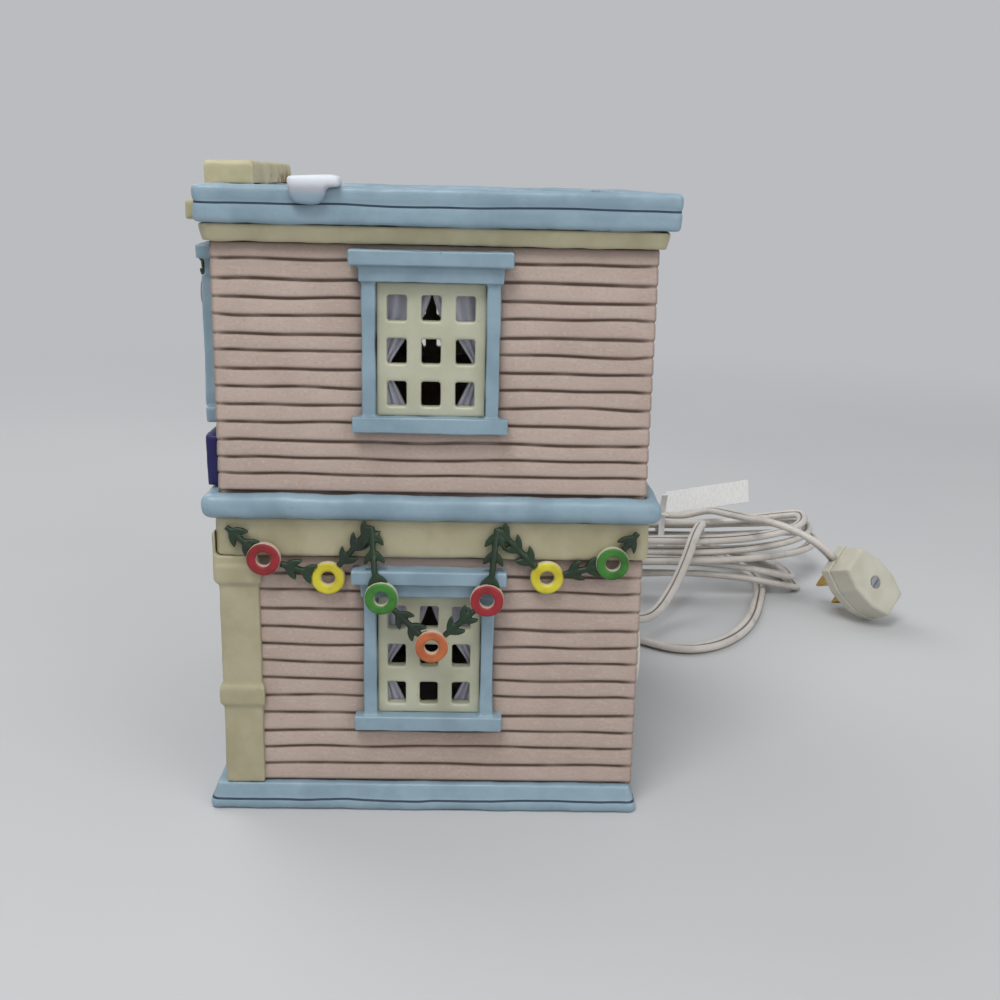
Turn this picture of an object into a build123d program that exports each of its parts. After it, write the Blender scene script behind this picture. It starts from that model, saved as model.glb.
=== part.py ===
from build123d import *
import math
import os

# A lit ceramic village house. Millimetres, +Z up, the front faces -Y, the origin is on the
# floor under the middle of the walls.

# House body
house_width = 140.0
house_depth = 134.0
wall_thick = 6.0
board_relief = 1.1
lower_boards = 13
upper_boards = 14
fit = 0.1

# Heights of the bands, from the floor up
plinth_foot_h = 3.7
plinth_step_h = 5.0
lower_wall_h = 78.7
fascia_h = 12.6
belt_h = 7.9
upper_wall_h = 76.8
moulding_h = 5.3
cornice_low_h = 5.9
cornice_top_h = 5.0

# How far each band stands out from the boards
plinth_foot_out = 3.9
plinth_step_out = 3.1
plinth_taper = 18.0
plinth_shift = -2.3
fascia_out = 1.5
belt_out = 4.9
belt_round = 3.2
belt_shift = -0.2
moulding_out = 2.0
moulding_taper = 15.0
cornice_out = 4.8
cornice_shift = 0.9
cornice_rim = 9.0
band_round = 1.3
band_corner = 2.5

# Roof and the sign on its front
deck_thick = 2.5
snow_thick = 3.0
snow_edge_gap = 5.0
snow_round = 1.3
drip_place = -35.2
drip_length = 15.3
drip_width = 7.0
drip_fall = 5.2
tongue_place = -36.9
tongue_length = 10.9
tongue_round = 3.5
pediment_width = 80.0
pediment_thick = 15.6
pediment_rise = 7.2
pediment_inset = 12.2
pediment_round = 1.5
lip_width = 116.0
lip_out = 5.5
lip_h = 5.6
lip_drop = 4.9
board_width = 130.0
board_height = 16.5
board_thick = 4.5
board_gap = 0.3

# Corner posts of the ground floor front
post_size = 12.8
post_out_front = 0.8
post_out_side = 1.5
capital_h = 5.7
capital_drop = 3.2
post_ring_rise = 28.0
post_ring_h = 6.3
post_band_out = 0.9
corbel_out = 2.6
corbel_drop = 9.1
corbel_rise = 7.8
corbel_round = 1.0

# Windows, all alike
window_shift = -1.0
upper_window_rise = 20.3
lower_window_gap = 3.0
front_window_u = 38.0
front_low_window_u = -30.0
sill_width = 47.8
sill_h = 4.8
sill_out = 4.5
jamb_span = 41.8
jamb_width = 4.2
jamb_h = 40.9
jamb_out = 3.0
front_jamb_out = 5.2
band_width = 43.3
band_h = 4.7
band_out = 4.0
hood_width = 48.9
hood_h = 4.6
hood_out = 6.0
surround_embed = 3.0
sash_front = 0.5
sash_thick = 4.0
pane_columns = 3
pane_rows = 3
muntin_width = 4.5
rail_width = 5.3
stile_width = 3.4
bottom_rail = 3.0
top_rail = 4.1
curtain_thick = 1.2
curtain_part = 0.7
curtain_tie_u = 10.5
curtain_tie_h = 17.0
curtain_hem_u = 7.5
curtain_sweep_u = 6.5
curtain_sweep_drop = 2.0
curtain_flare = 0.6

# Front door
door_u = 31.0
door_width = 27.0
door_h = 60.0
door_thick = 4.0
door_recess = 1.5
door_frame = 5.0
door_frame_out = 3.0
door_panel_edge = 4.5
door_panel_depth = 1.0
door_panel_gap = 4.0
knob_size = 3.0
knob_h = 26.0

# Ring candies and leafy sprigs
candy_radius = 5.3
candy_hole = 2.3
candy_thick = 3.2
candy_round = 0.8
stem_radius = 1.0
leaf_length = 6.0
leaf_width = 1.9
leaf_thick = 1.6
leaf_angle = 34.0
leaf_step = 5.6
front_candy_h = 38.4
front_sprig_u = 9.0
front_sprig_drop = 2.3

# Side garland: places along the wall from its middle, and heights over the fascia's foot or
# under the top of the lower window's hood
red_a_u = -52.8
red_a_rise = 0.1
yellow_a_u = -33.0
yellow_a_rise = -6.6
yellow_b_u = 36.4
yellow_b_rise = -5.5
green_b_u = 56.9
green_b_rise = 0.1
green_a_u = -15.8
green_a_drop = 8.1
orange_u = 0.1
orange_drop = 24.0
red_b_u = 17.4
red_b_drop = 8.3
garland_end_u = 64.5
garland_end_drop = 2.5
peak_a_u = -19.1
peak_b_u = 20.2
peak_drop = 1.8
over_a_u = -18.0
over_b_u = 18.9

# Lamp holder and bulb, on an axis along Y through the back wall
lamp_z = 30.0
lamp_hole = 33.0
holder_dia = 25.0
holder_length = 30.0
flange_dia = 40.0
flange_thick = 2.2
body_gap = 0.3
bore_depth = 24.0
shell_thick = 0.6
shell_length = 20.0
contact_dia = 6.0
contact_thick = 1.0
clip_width = 6.0
clip_thick = 0.6
clip_length = 24.0
clip_rise = 3.2
cap_dia = 30.0
cap_length = 6.8
cap_round = 2.5
outlet_offset = 13.5
relief_root = 6.4
relief_tip = 5.4
relief_length = 24.0
bulb_cap_dia = 14.0
bulb_cap_length = 18.0
bulb_dia = 22.0
bulb_length = 40.0
bulb_neck = 11.0

# Cord, a flat twin lead drawn here as a round tube
cord_dia = 4.4
floor_gap = 0.1
bend_share = 0.45

# Hank: a low oval pile of loops
hank_x = -182.0
hank_y = 118.0
hank_half_width = 40.0
hank_half_length = 80.0
hank_quarters = 21
hank_pitch = 6.3
hank_layer = 5.8
hank_front_lift = 10.0
hank_back_lift = 2.4
front_lobe_shift = 24.0
front_lobe_length = 66.0
back_lobe_shift = -15.0
back_lobe_length = 80.0
back_lobe_lift = 10.5

# Tie round the back run of the hank, and the paper tag
tie_width = 3.2
tie_thick = 0.8
tie_room = 0.5
tie_tail = 15.0
tie_tail_angles = (58.0, 12.0)
tag_width = 13.0
tag_thick = 0.4
tag_gap = 0.8
tag_lean = 28.0
tag_middle = (-1.5, 20.0, 3.0)
tag_end = (2.0, 46.0, 8.5)

# Plug
plug_x = -113.0
plug_y = 199.0
plug_yaw = 95.0
plug_dip = 46.0
plug_roll = -61.0
plug_length = 35.5
plug_width = 24.0
plug_neck = 16.6
plug_tip = 16.6
plug_shoulder = 0.35
plug_hip = 0.35
plug_edge = 1.5
plug_base_edge = 4.0
plug_base_h = 9.0
plug_cover_h = 11.5
plug_cover_taper = 6.0
plug_step = 0.4
pin_width = 6.3
pin_thick = 1.5
pin_length = 16.0
pin_spacing = 12.7
pin_shift = 3.0
screw_head = 5.6
screw_head_h = 1.4
screw_shank = 3.0
screw_slot = 1.1
screw_bite = 5.0
cord_seat_h = -2.6
plug_run = 8.0
hank_run = 10.0

# Heights worked out from the bands
plinth_top = plinth_foot_h + plinth_step_h
fascia_z = plinth_top + lower_wall_h
belt_z = fascia_z + fascia_h
upper_z = belt_z + belt_h
moulding_z = upper_z + upper_wall_h
cornice_z = moulding_z + moulding_h
cornice_top = cornice_z + cornice_low_h + cornice_top_h
deck_top = cornice_z + deck_thick
upper_window_z = upper_z + upper_window_rise
half_width = house_width / 2
half_depth = house_depth / 2
sash_width = jamb_span - 2 * jamb_width
bore_dia = bulb_cap_dia + 2 * (body_gap + shell_thick + fit)
hood_top = sill_h + jamb_h + band_h + hood_h
lower_window_z = fascia_z - lower_window_gap - hood_top

# Each wall has its own frame: u runs along it, h up, and out away from the house
WALLS = {
    "right": Plane((half_width, 0, 0), x_dir=(0, 1, 0), z_dir=(1, 0, 0)),
    "left": Plane((-half_width, 0, 0), x_dir=(0, -1, 0), z_dir=(-1, 0, 0)),
    "front": Plane((0, -half_depth, 0), x_dir=(1, 0, 0), z_dir=(0, -1, 0)),
    "back": Plane((0, half_depth, 0), x_dir=(-1, 0, 0), z_dir=(0, 1, 0)),
}
WALL_LENGTH = {"right": house_depth, "left": house_depth, "front": house_width, "back": house_width}

nodes = {}


def block(low, high):
    """A box between two corners."""
    size = [b - a for a, b in zip(low, high)]
    middle = [(a + b) / 2 for a, b in zip(low, high)]
    return Pos(*middle) * Box(*size)


def outline(points):
    """A flat face inside a closed run of straight lines."""
    return make_face(Polyline(*points, close=True))


def on_wall(side, shape):
    return WALLS[side].location * shape


def band(z, height, stand_out, inner, rounding=0.0, taper=0.0, shift=0.0):
    """A band round the house, open in the middle by the house's plan less inner on each side.

    With shift, its outside lies that far to the back, as a hand-finished casting does.
    """
    plan = RectangleRounded(house_width + 2 * stand_out, house_depth + 2 * stand_out, band_corner)
    solid = extrude(Pos(0, shift, z) * plan, height, taper=taper)
    if rounding:
        faces = solid.faces().sort_by(Axis.Z)
        solid = fillet(faces[0].edges() + faces[-1].edges(), rounding)
    hole = Rectangle(house_width - 2 * inner, house_depth - 2 * inner)
    return solid - extrude(Pos(0, 0, z) * hole, height)


# Bands
def make_bands():
    foot = band(0, plinth_foot_h, plinth_foot_out, wall_thick, band_round, shift=plinth_shift)
    step = band(
        plinth_foot_h, plinth_step_h, plinth_step_out, wall_thick, taper=plinth_taper, shift=plinth_shift
    )
    nodes["plinth"] = foot + step
    nodes["belt_fascia"] = band(fascia_z, fascia_h, fascia_out, 0)
    nodes["belt_ledge"] = band(belt_z, belt_h, belt_out, 0, belt_round, shift=belt_shift)
    nodes["cornice_moulding"] = band(moulding_z, moulding_h, moulding_out, 0, taper=-moulding_taper)
    low = band(cornice_z, cornice_low_h, cornice_out, 0, band_round, shift=cornice_shift)
    shelf = band(deck_top, cornice_low_h - deck_thick, 0, cornice_rim)
    top_z = cornice_z + cornice_low_h
    top = band(top_z, cornice_top_h, cornice_out, cornice_rim, band_round, shift=cornice_shift)
    nodes["cornice"] = low + shelf + top


# Window pieces, in a wall's frame, with the sill's underside at h = 0
def surround_boxes(jamb=jamb_out):
    """The boxes of a window surround as (u half width, inner half width, low, high, out)."""
    jamb_top = sill_h + jamb_h
    return [
        (sill_width / 2, 0, 0, sill_h, sill_out),
        (jamb_span / 2, sash_width / 2, sill_h, jamb_top, jamb),
        (band_width / 2, 0, jamb_top, jamb_top + band_h, band_out),
        (hood_width / 2, 0, jamb_top + band_h, hood_top, hood_out),
    ]


def surround(reach=None, jamb=jamb_out):
    """A window surround. With reach, its print in the wall, which stands out that far."""
    solid = None
    for half, inner, low, high, out in surround_boxes(jamb):
        front = out if reach is None else reach
        piece = block((-half, low, -surround_embed), (half, high, front))
        if inner and reach is None:
            piece -= block((-inner, low, -surround_embed), (inner, high, front))
        solid = piece if solid is None else solid + piece
    return solid


def window_cut():
    sash_hole = block(
        (-sash_width / 2, sill_h, -wall_thick), (sash_width / 2, sill_h + jamb_h, hood_out)
    )
    return surround(reach=hood_out) + sash_hole


def sash():
    half = sash_width / 2 - fit
    low = sill_h + fit
    high = sill_h + jamb_h - fit
    back = sash_front - sash_thick
    solid = block((-half, low, back), (half, high, sash_front))
    pane_w = (sash_width - 2 * stile_width - (pane_columns - 1) * muntin_width) / pane_columns
    pane_h = (jamb_h - bottom_rail - top_rail - (pane_rows - 1) * rail_width) / pane_rows
    for column in range(pane_columns):
        u = -sash_width / 2 + stile_width + column * (pane_w + muntin_width)
        for row in range(pane_rows):
            h = sill_h + bottom_rail + row * (pane_h + rail_width)
            solid -= block((u, h, back), (u + pane_w, h + pane_h, sash_front))
    return solid


def curtain_panel(side):
    """One tied-back curtain behind the sash: side is -1 or 1."""
    edge = side * (sash_width / 2 - fit)
    top = sill_h + jamb_h - fit
    low = sill_h + fit
    tie = (side * curtain_tie_u, sill_h + curtain_tie_h)
    part = (side * curtain_part, top)
    hem = (side * curtain_hem_u, low)
    sweep_mid = (side * curtain_sweep_u, (top + tie[1]) / 2 - curtain_sweep_drop)
    flare_u = (curtain_tie_u + curtain_hem_u) / 2 + curtain_flare
    flare_mid = (side * flare_u, (low + tie[1]) / 2)
    edges = [
        Line((edge, top), part),
        ThreePointArc(part, sweep_mid, tie),
        ThreePointArc(tie, flare_mid, hem),
        Line(hem, (edge, low)),
        Line((edge, low), (edge, top)),
    ]
    front = sash_front - sash_thick - fit
    return extrude(Pos(0, 0, front - curtain_thick) * make_face(edges), curtain_thick, dir=(0, 0, 1))


def window_places():
    """Each window's name, wall and place on it."""
    return [
        ("right_upper", "right", window_shift, upper_window_z),
        ("right_lower", "right", window_shift, lower_window_z),
        ("left_upper", "left", -window_shift, upper_window_z),
        ("left_lower", "left", -window_shift, lower_window_z),
        ("front_upper_right", "front", front_window_u, upper_window_z),
        ("front_upper_left", "front", -front_window_u, upper_window_z),
        ("front_lower", "front", front_low_window_u, lower_window_z),
    ]


def make_windows():
    curtains = {}
    for name, side, u, z in window_places():
        place = WALLS[side].location * Pos(u, z, 0)
        jamb = front_jamb_out if side == "front" else jamb_out
        nodes[f"window_surround_{name}"] = place * surround(jamb=jamb)
        nodes[f"window_sash_{name}"] = place * sash()
        curtains.setdefault(side, []).extend(place * curtain_panel(s) for s in (-1, 1))
    for side, panels in curtains.items():
        nodes[f"curtains_{side}"] = Compound(children=panels)


# Front door, in the front wall's frame
def door_cut(reach):
    half = door_width / 2
    hole = block((door_u - half, plinth_top, -wall_thick), (door_u + half, plinth_top + door_h, reach))
    wide = half + door_frame
    frame_print = block(
        (door_u - wide, plinth_top, -surround_embed),
        (door_u + wide, plinth_top + door_h + door_frame, reach),
    )
    return hole + frame_print


def make_door():
    half = door_width / 2
    wide = half + door_frame
    top = plinth_top + door_h
    frame = block(
        (door_u - wide, plinth_top, -surround_embed), (door_u + wide, top + door_frame, door_frame_out)
    )
    frame -= block((door_u - half, plinth_top, -surround_embed), (door_u + half, top, door_frame_out))
    nodes["door_surround"] = on_wall("front", frame)
    back = -door_recess - door_thick
    inside = half - fit
    leaf = block((door_u - inside, plinth_top, back), (door_u + inside, top - fit, -door_recess))
    panel_half = inside - door_panel_edge
    panel_h = (door_h - 3 * door_panel_gap) / 2
    for row in range(2):
        low = plinth_top + door_panel_gap + row * (panel_h + door_panel_gap)
        leaf -= block(
            (door_u - panel_half, low, -door_recess - door_panel_depth),
            (door_u + panel_half, low + panel_h, -door_recess),
        )
    knob_u = door_u - inside + door_panel_edge / 2
    leaf += Pos(knob_u, plinth_top + knob_h, -door_recess) * Sphere(knob_size / 2)
    nodes["front_door"] = on_wall("front", leaf)


# Walls
def board_profile():
    """The outside of a wall, from the floor of the boards up, as (h, out) points."""
    points = [(plinth_top, -wall_thick), (plinth_top, 0)]
    for start, height, count in (
        (plinth_top, lower_wall_h, lower_boards),
        (upper_z, upper_wall_h, upper_boards),
    ):
        step = height / count
        for i in range(count):
            points.append((start + i * step, 0))
            points.append((start + (i + 1) * step, -board_relief))
        points.append((start + height, 0))
    points += [(cornice_z, 0), (cornice_z, -wall_thick)]
    return [p for i, p in enumerate(points) if i == 0 or p != points[i - 1]]


def wall(side):
    half = WALL_LENGTH[side] / 2
    profile = outline([(0, h, out) for h, out in board_profile()])
    slab = extrude(profile, half + wall_thick, dir=(1, 0, 0), both=True)
    reach = wall_thick
    mitre = outline(
        [
            (-half - reach, 0, reach),
            (half + reach, 0, reach),
            (half - wall_thick, 0, -wall_thick),
            (wall_thick - half, 0, -wall_thick),
        ]
    )
    return slab & extrude(mitre, cornice_top, dir=(0, 1, 0))


def lamp_opening():
    """The round hole in the back wall, as a solid to cut with."""
    hole = Cylinder(lamp_hole / 2, 4 * wall_thick)
    return Pos(0, half_depth, lamp_z) * Rot(90, 0, 0) * hole


def post_box(sign, grow=0.0):
    """The square of a corner post: sign is 1 on the right and -1 on the left."""
    outer = half_width + post_out_side + grow
    inner = outer - post_size - 2 * grow
    front = -half_depth - post_out_front - grow
    low_x, high_x = sorted((sign * inner, sign * outer))
    return (low_x, front), (high_x, front + post_size + 2 * grow)


def post_block(sign, low, high, grow=0.0):
    near, far = post_box(sign, grow)
    return block((near[0], near[1], low), (far[0], far[1], high))


def make_walls():
    for side in WALLS:
        shape = wall(side)
        for _, on_side, u, z in window_places():
            if on_side == side:
                shape -= Pos(u, z, 0) * window_cut()
        if side == "front":
            shape -= door_cut(hood_out)
        shape = on_wall(side, shape)
        if side == "back":
            shape -= lamp_opening()
        for sign in (-1, 1):
            shape -= post_block(sign, plinth_top, fascia_z)
        nodes[f"{side}_wall"] = shape


def corbel(sign):
    """The rounded bracket on the front of a post, which also lies on the front of the fascia."""
    near, far = post_box(sign)
    low, high = fascia_z - corbel_drop, fascia_z + corbel_rise
    front = -half_depth - corbel_out
    lump = block((near[0], front, low), (far[0], front + post_size, high))
    lump = fillet(lump.faces().sort_by(Axis.Y)[0].edges(), corbel_round)
    face = -half_depth - fascia_out
    behind = block((near[0] - post_size, face, low), (far[0] + post_size, 0, high))
    foot = post_block(sign, low, fascia_z)
    return (lump - behind) + foot


def make_posts():
    capital_top = fascia_z - capital_drop
    for sign, name in ((1, "right"), (-1, "left")):
        post = post_block(sign, plinth_top, fascia_z)
        ring_z = plinth_top + post_ring_rise
        bands = [(capital_top - capital_h, capital_top), (ring_z, ring_z + post_ring_h)]
        for low, high in bands:
            collar = post_block(sign, low, high, post_band_out)
            inner_x, outer_x = sorted((0, sign * half_width))
            inside = block(
                (inner_x, -half_depth, low), (outer_x, half_depth, high)
            )
            post += collar - inside
        nodes[f"corner_post_{name}"] = post + corbel(sign)


# Roof
def make_roof():
    deck = Pos(0, 0, cornice_z + deck_thick / 2) * Box(house_width, house_depth, deck_thick)
    nodes["roof_deck"] = deck
    drift_width = house_width - 2 * cornice_rim - 2 * snow_edge_gap
    drift_front = cornice_rim - half_depth + snow_edge_gap
    drift_back = half_depth - cornice_rim - snow_edge_gap
    plan = RectangleRounded(drift_width, drift_back - drift_front, snow_edge_gap)
    drift = extrude(Pos(0, (drift_front + drift_back) / 2, deck_top) * plan, snow_thick)
    drift = fillet(drift.faces().sort_by(Axis.Z)[-1].edges(), snow_thick / 2)
    outer = half_width + cornice_out
    cap = block(
        (outer - drip_width, drip_place - drip_length / 2, cornice_top),
        (outer + snow_thick, drip_place + drip_length / 2, cornice_top + snow_thick),
    )
    cap = fillet(cap.edges().filter_by(Axis.Z), snow_round)
    tongue = block(
        (outer, tongue_place - tongue_length / 2, cornice_top - drip_fall),
        (outer + snow_thick, tongue_place + tongue_length / 2, cornice_top),
    )
    tongue = fillet(tongue.edges().filter_by(Axis.X).group_by(Axis.Z)[0], tongue_round)
    lump = cap + tongue
    nodes["roof_snow"] = Compound(children=[drift, lump])


def make_sign():
    """The pediment on the front of the cornice, with its lip, and the dark blue board."""
    back = pediment_inset - half_depth - cornice_out + cornice_shift
    front = back - pediment_thick
    half = pediment_width / 2
    crown = block((-half, front, cornice_top), (half, back, cornice_top + pediment_rise))
    crown = fillet(crown.faces().sort_by(Axis.Z)[-1].edges(), pediment_round)
    face = cornice_shift - half_depth - cornice_out
    lip_top = cornice_top - lip_drop
    neck = block((-half, front, lip_top), (half, face, cornice_top))
    lip = block((-lip_width / 2, face - lip_out, lip_top - lip_h), (lip_width / 2, face, lip_top))
    nodes["sign_pediment"] = crown + neck + lip
    low = upper_z + board_gap
    plate = block((-board_width / 2, low, 0), (board_width / 2, low + board_height, board_thick))
    nodes["sign_board"] = on_wall("front", plate)


# Garland on a side wall, in that wall's frame
def side_candies():
    """Each candy of a side garland: name, colour, (u, h), and the height of its seat."""
    top = lower_window_z + hood_top
    on_post = max(fascia_out, post_out_side + post_band_out)
    return {
        "red_a": ("red", (red_a_u, fascia_z + red_a_rise), on_post),
        "yellow_a": ("yellow", (yellow_a_u, fascia_z + yellow_a_rise), 0.0),
        "green_a": ("green", (green_a_u, top - green_a_drop), hood_out),
        "orange": ("orange", (orange_u, top - orange_drop), hood_out),
        "red_b": ("red", (red_b_u, top - red_b_drop), hood_out),
        "yellow_b": ("yellow", (yellow_b_u, fascia_z + yellow_b_rise), 0.0),
        "green_b": ("green", (green_b_u, fascia_z + green_b_rise), fascia_out),
    }


def candy():
    ring = Cylinder(candy_radius, candy_thick, align=(Align.CENTER, Align.CENTER, Align.MIN))
    ring -= Cylinder(candy_hole, 3 * candy_thick)
    return fillet(ring.edges().filter_by(GeomType.CIRCLE), candy_round)


def stem_out(seat):
    """How far a stem's middle stands out where it meets something with that seat."""
    return max(seat + candy_thick / 2, fascia_out + stem_radius + fit)


def leaf(base, direction):
    """A leaf from a point of a stem, flat to the wall."""
    tip = base + direction * leaf_length
    side = Vector(-direction.Y, direction.X, 0) * (leaf_width / 2)
    middle = (base + tip) * 0.5
    edges = [
        ThreePointArc(base, middle + side, tip),
        ThreePointArc(tip, middle - side, base),
    ]
    return extrude(make_face(edges), leaf_thick / 2, dir=(0, 0, 1), both=True)


def sprig(start, end, bare=0.0):
    """A stem between two points, with leaves in pairs after a bare first part."""
    start, end = Vector(*start), Vector(*end)
    along = (end - start).normalized()
    length = (end - start).length
    solid = Solid.make_cylinder(stem_radius, length, Plane(start, z_dir=along))
    flat = Vector(along.X, along.Y, 0).normalized()
    count = int((length - bare) / leaf_step)
    for i in range(count):
        base = start + along * (bare + (i + 0.25) * leaf_step)
        for turn in (-leaf_angle, leaf_angle):
            solid = solid.fuse(leaf(base, flat.rotate(Axis.Z, turn)))
    return solid


def side_sprigs():
    """The stems of a side garland: two points (u, h, out), and how much of the stem is bare."""
    candies = side_candies()
    spots = {}
    for name, (_, (u, h), seat) in candies.items():
        spots[name] = (u, h, stem_out(seat))
    rest = stem_out(fascia_out)
    spots["end_a"] = (-garland_end_u, belt_z - garland_end_drop, rest)
    spots["end_b"] = (garland_end_u, belt_z - garland_end_drop, rest)
    spots["peak_a"] = (peak_a_u, belt_z - peak_drop, rest)
    spots["peak_b"] = (peak_b_u, belt_z - peak_drop, rest)
    over_hood = hood_out + stem_radius + 2 * fit
    hood_edge = lower_window_z + hood_top + stem_radius
    spots["over_a"] = (over_a_u, hood_edge, over_hood)
    spots["over_b"] = (over_b_u, hood_edge, over_hood)
    links = [
        ("end_a", "red_a"),
        ("red_a", "yellow_a"),
        ("yellow_a", "peak_a"),
        ("peak_a", "over_a"),
        ("over_a", "green_a"),
        ("green_a", "orange"),
        ("orange", "red_b"),
        ("over_b", "red_b"),
        ("peak_b", "over_b"),
        ("yellow_b", "peak_b"),
        ("yellow_b", "green_b"),
        ("end_b", "green_b"),
    ]
    return [(spots[a], spots[b], candy_radius if a in candies else 0.0) for a, b in links]


def candy_room(u, h, seat):
    """The space that a candy fills, with room round it."""
    room = Cylinder(candy_radius + fit, 3 * candy_thick, align=(Align.CENTER, Align.CENTER, Align.MIN))
    return Pos(u, h, seat) * room


def side_garland():
    leaves = None
    for start, end, bare in side_sprigs():
        piece = sprig(start, end, bare)
        leaves = piece if leaves is None else leaves.fuse(piece)
    for _, (u, h), seat in side_candies().values():
        leaves -= candy_room(u, h, seat - candy_thick)
    far = house_depth
    return leaves - block((-far, belt_z - fit, -far), (far, cornice_top, far))


def front_candy_places():
    """A candy in the middle of each upper front window, hung from the hood."""
    return [(sign * front_window_u, upper_window_z + front_candy_h) for sign in (-1, 1)]


def front_sprigs(u, h):
    """The two stems that hold a front candy, up to the face of the hood."""
    hood_out_mid = hood_out + stem_radius + fit
    hood_foot = upper_window_z + hood_top - front_sprig_drop
    candy_mid = (u, h, stem_out(hood_out))
    ends = [(u + sign * front_sprig_u, hood_foot, hood_out_mid) for sign in (-1, 1)]
    return [sprig(candy_mid, end, candy_radius) for end in ends]


def make_garlands():
    by_colour = {}
    for colour, (u, h), seat in side_candies().values():
        for side, flip in (("right", 1), ("left", -1)):
            place = WALLS[side].location * Pos(flip * u, h, seat)
            by_colour.setdefault(colour, []).append(place * candy())
    for u, h in front_candy_places():
        by_colour["red"].append(WALLS["front"].location * Pos(u, h, hood_out) * candy())
    for colour, rings in by_colour.items():
        nodes[f"ring_candies_{colour}"] = Compound(children=rings)
    garland = side_garland()
    nodes["garland_right"] = on_wall("right", garland)
    nodes["garland_left"] = on_wall("left", garland.mirror(Plane.YZ))
    hanging = []
    for u, h in front_candy_places():
        room = candy_room(u, h, hood_out - candy_thick)
        hanging += [on_wall("front", piece - room) for piece in front_sprigs(u, h)]
    nodes["garland_front"] = Compound(children=hanging)


# Lamp holder. Its pieces are made along Z, with the wall face at zero and the outside above it
def along_lamp(shape):
    return Plane((0, half_depth, lamp_z), x_dir=(-1, 0, 0), z_dir=(0, 1, 0)).location * shape


def rod(diameter, low, high):
    """A round bar on the axis between two heights."""
    bar = Cylinder(diameter / 2, high - low, align=(Align.CENTER, Align.CENTER, Align.MIN))
    return Pos(0, 0, low) * bar


def spring_clip(sign):
    """A bowed strip on the side of the holder, as wide as its hole allows at the wall."""
    root = holder_dia / 2 + fit / 2
    low, high = -body_gap - clip_length, -body_gap
    middle = (low + high) / 2
    peak = min(root + clip_rise, lamp_hole / 2 - clip_thick - body_gap)
    inner = ThreePointArc((root, low), (peak, middle), (root, high))
    outer = ThreePointArc((root + clip_thick, low), (peak + clip_thick, middle), (root + clip_thick, high))
    ends = [Line(inner @ 1, outer @ 1), Line(inner @ 0, outer @ 0)]
    strip = extrude(make_face([inner, outer, *ends]), clip_width / 2, both=True)
    upright = Plane((0, 0, 0), x_dir=(sign, 0, 0), z_dir=(0, -sign, 0))
    return upright.location * strip


def make_lamp():
    flange_low = body_gap
    flange_high = body_gap + flange_thick
    inner_end = -holder_length
    bore_bottom = inner_end + bore_depth
    body = rod(holder_dia, inner_end, flange_low) + rod(flange_dia, flange_low, flange_high)
    body -= rod(bore_dia, inner_end, bore_bottom)
    nodes["holder_body"] = along_lamp(body)
    shell_dia = bore_dia - 2 * fit
    shell = rod(shell_dia, bore_bottom - shell_length, bore_bottom)
    shell -= rod(shell_dia - 2 * shell_thick, bore_bottom - shell_length, bore_bottom)
    nodes["screw_shell"] = along_lamp(shell)
    nodes["centre_contact"] = along_lamp(rod(contact_dia, bore_bottom - contact_thick, bore_bottom))
    nodes["spring_clips"] = Compound(children=[along_lamp(spring_clip(s)) for s in (-1, 1)])
    cap = rod(cap_dia, flange_high, flange_high + cap_length)
    cap = fillet(cap.faces().sort_by(Axis.Z)[-1].edges(), cap_round)
    cap -= block((outlet_offset, -cap_dia, 0), (cap_dia, cap_dia, flange_high + cap_length))
    nodes["holder_cap"] = along_lamp(cap)
    relief_mid = flange_high + relief_root / 2 + fit
    relief = Cone(
        relief_root / 2, relief_tip / 2, relief_length, align=(Align.CENTER, Align.CENTER, Align.MIN)
    )
    nodes["strain_relief"] = along_lamp(Pos(outlet_offset, 0, relief_mid) * Rot(0, 90, 0) * relief)
    cap_foot = bore_bottom - contact_thick - body_gap
    cap_end = cap_foot - bulb_cap_length
    nodes["bulb_cap"] = along_lamp(rod(bulb_cap_dia, cap_end, cap_foot))
    round_z = bulb_length - bulb_dia / 2
    lean = math.sqrt(0.5) * bulb_dia / 2
    glass = make_face(
        [
            Line((0, 0), (bulb_neck / 2, 0)),
            Line((bulb_neck / 2, 0), (bulb_dia / 2, round_z)),
            ThreePointArc((bulb_dia / 2, round_z), (lean, round_z + lean), (0, bulb_length)),
            Line((0, bulb_length), (0, 0)),
        ]
    )
    bulb = revolve(Plane.XZ * glass, Axis.Z)
    nodes["bulb_glass"] = along_lamp(Pos(0, 0, cap_end) * Rot(180, 0, 0) * bulb)


# Cords
def route_wire(points):
    """A path of straight runs and arcs, each arc as large as its two runs allow."""
    spots = [Vector(*p) for p in points]
    radii = []
    for a, b, c in zip(spots, spots[1:], spots[2:]):
        turn = math.radians((b - a).get_angle(c - b))
        radii.append(bend_share * min((b - a).length, (c - b).length) / math.tan(turn / 2))
    print("  radii", [round(r, 1) for r in radii])
    return FilletPolyline(*spots, radius=radii)


def tube(path, name):
    start = Plane(path @ 0, z_dir=path % 0)
    solid = sweep(start * Circle(cord_dia / 2), path=path)
    ideal = math.pi * cord_dia**2 / 4 * path.length
    print(f"  {name}: length {path.length:.0f} mm, volume {solid.volume / ideal:.3f} of section times length")
    return solid


def biarc(p0, t0, p1, t1):
    """Two arcs that join two points with given directions."""
    gap = p1 - p0
    both = t0 + t1
    spread = 2 * (1 - t0.dot(t1))
    along = gap.dot(both)
    if spread < 1e-6:
        reach = gap.dot(gap) / (2 * along)
    else:
        reach = (math.sqrt(along**2 + spread * gap.dot(gap)) - along) / spread
    middle = (p0 + p1 + (t0 - t1) * reach) * 0.5
    heading = ((p1 - t1 * reach) - (p0 + t0 * reach)).normalized()
    return [TangentArc(p0, middle, tangent=t0), TangentArc(middle, p1, tangent=heading)]


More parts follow.
